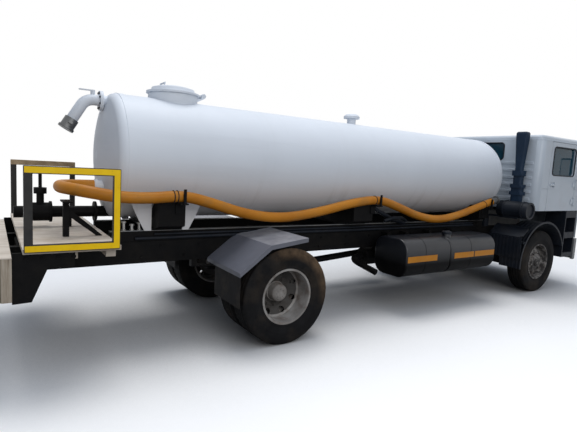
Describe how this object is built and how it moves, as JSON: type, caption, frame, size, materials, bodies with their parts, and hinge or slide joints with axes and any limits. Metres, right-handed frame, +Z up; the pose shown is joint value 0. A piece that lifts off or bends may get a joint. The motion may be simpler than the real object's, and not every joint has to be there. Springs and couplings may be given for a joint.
{
  "type": "septic truck",
  "caption": "Two-axle cab-over truck with a long horizontal vacuum tank, a suction hose slung along its side, a rear work deck with guard frames, opening doors and a hinged manhole lid.",
  "frame": {"origin": "on the ground under the middle of the length and width", "axes": "+X forward, +Y to the vehicle's left, +Z up"},
  "size_m": [9.24, 2.86, 2.7495],
  "materials": {
    "tank_white": "gloss",
    "cab_white": "gloss",
    "chassis_black": "satin",
    "fuel_black": "gloss",
    "engine_grey": "matte",
    "guard_yellow": "satin",
    "deck_tan": "worn",
    "board_tan": "worn",
    "mudguard_grey": "satin",
    "black_plastic": "matte",
    "flap_rubber": "matte",
    "tyre": "matte",
    "rim_grey": "worn",
    "glass": "clear",
    "bumper_grey": "satin",
    "lamp_clear": "clear",
    "lamp_red": "gloss",
    "seat_cloth": "woven",
    "hose_orange": "satin",
    "coupling_grey": "satin"
  },
  "bodies": {
    "chassis": {"air_cleaner": "black_plastic", "air_tanks": "chassis_black", "battery_box": "chassis_black", "bumper": "bumper_grey", "cab_back": "cab_white", "cab_floor": "chassis_black", "cab_front": "cab_white", "cab_glass": "glass", "cab_roof": "cab_white", "cab_steps": "black_plastic", "dash": "black_plastic", "deck": "deck_tan", "discharge_pipe": "chassis_black", "drop_brackets": "chassis_black", "engine": "engine_grey", "fill_coupling": "coupling_grey", "fill_elbow": "tank_white", "frame_rails": "chassis_black", "front_axle": "chassis_black", "front_mudguards": "black_plastic", "fuel_tanks": "fuel_black", "grille": "black_plastic", "guard_frames": "guard_yellow", "head_lamps": "lamp_clear", "hose": "hose_orange", "hose_coupling": "coupling_grey", "hose_rest": "chassis_black", "leaf_springs": "chassis_black", "manhole_neck": "tank_white", "mirrors": "black_plastic", "mud_flaps": "flap_rubber", "propeller_shaft": "chassis_black", "rear_axle": "chassis_black", "rear_mudguards": "mudguard_grey", "rear_step": "board_tan", "saddles": "chassis_black", "seats": "seat_cloth", "silencer": "chassis_black", "snorkel": "black_plastic", "steering_wheel": "black_plastic", "step_tread": "deck_tan", "subframe": "chassis_black", "tail_lamps": "lamp_red", "tank": "tank_white", "vacuum_pump": "engine_grey"},
    "rear_wheel_left": {"rear_tyres_left": "tyre", "rear_rims_left": "rim_grey"},
    "rear_wheel_right": {"rear_tyres_right": "tyre", "rear_rims_right": "rim_grey"},
    "knuckle_left": {"knuckle_left": "chassis_black"},
    "knuckle_right": {"knuckle_right": "chassis_black"},
    "front_wheel_left": {"front_tyre_left": "tyre", "front_rim_left": "rim_grey"},
    "front_wheel_right": {"front_tyre_right": "tyre", "front_rim_right": "rim_grey"},
    "door_left": {"door_left": "cab_white", "door_glass_left": "glass"},
    "door_right": {"door_right": "cab_white", "door_glass_right": "glass"},
    "manhole_lid": {"manhole_lid": "tank_white"}
  },
  "joints": [
    {"name": "rear_wheel_left", "type": "hinge", "parent": "chassis", "child": "rear_wheel_left", "pos_m": [-1.86, 0.9325, 0.525], "axis": [0, 1, 0], "continuous": true},
    {"name": "rear_wheel_right", "type": "hinge", "parent": "chassis", "child": "rear_wheel_right", "pos_m": [-1.86, -0.9325, 0.525], "axis": [0, 1, 0], "continuous": true},
    {"name": "steer_left", "type": "hinge", "parent": "chassis", "child": "knuckle_left", "pos_m": [3.34, 0.845, 0.525], "axis": [0, 0, 1], "range_deg": [-35, 35]},
    {"name": "steer_right", "type": "hinge", "parent": "chassis", "child": "knuckle_right", "pos_m": [3.34, -0.845, 0.525], "axis": [0, 0, 1], "range_deg": [-35, 35]},
    {"name": "front_wheel_left", "type": "hinge", "parent": "knuckle_left", "child": "front_wheel_left", "pos_m": [3.34, 1.01, 0.525], "axis": [0, 1, 0], "continuous": true},
    {"name": "front_wheel_right", "type": "hinge", "parent": "knuckle_right", "child": "front_wheel_right", "pos_m": [3.34, -1.01, 0.525], "axis": [0, 1, 0], "continuous": true},
    {"name": "door_left", "type": "hinge", "parent": "chassis", "child": "door_left", "pos_m": [4.193, 1.19, 1.7], "axis": [0, 0, -1], "range_deg": [0, 70]},
    {"name": "door_right", "type": "hinge", "parent": "chassis", "child": "door_right", "pos_m": [4.193, -1.19, 1.7], "axis": [0, 0, 1], "range_deg": [0, 70]},
    {"name": "manhole_lid", "type": "hinge", "parent": "chassis", "child": "manhole_lid", "pos_m": [-2.405, 0, 2.652], "axis": [0, 1, 0], "range_deg": [0, 100]}
  ],
  "couplings": [
    {"joint": "steer_right", "follows": "steer_left", "ratio": 1}
  ]
}
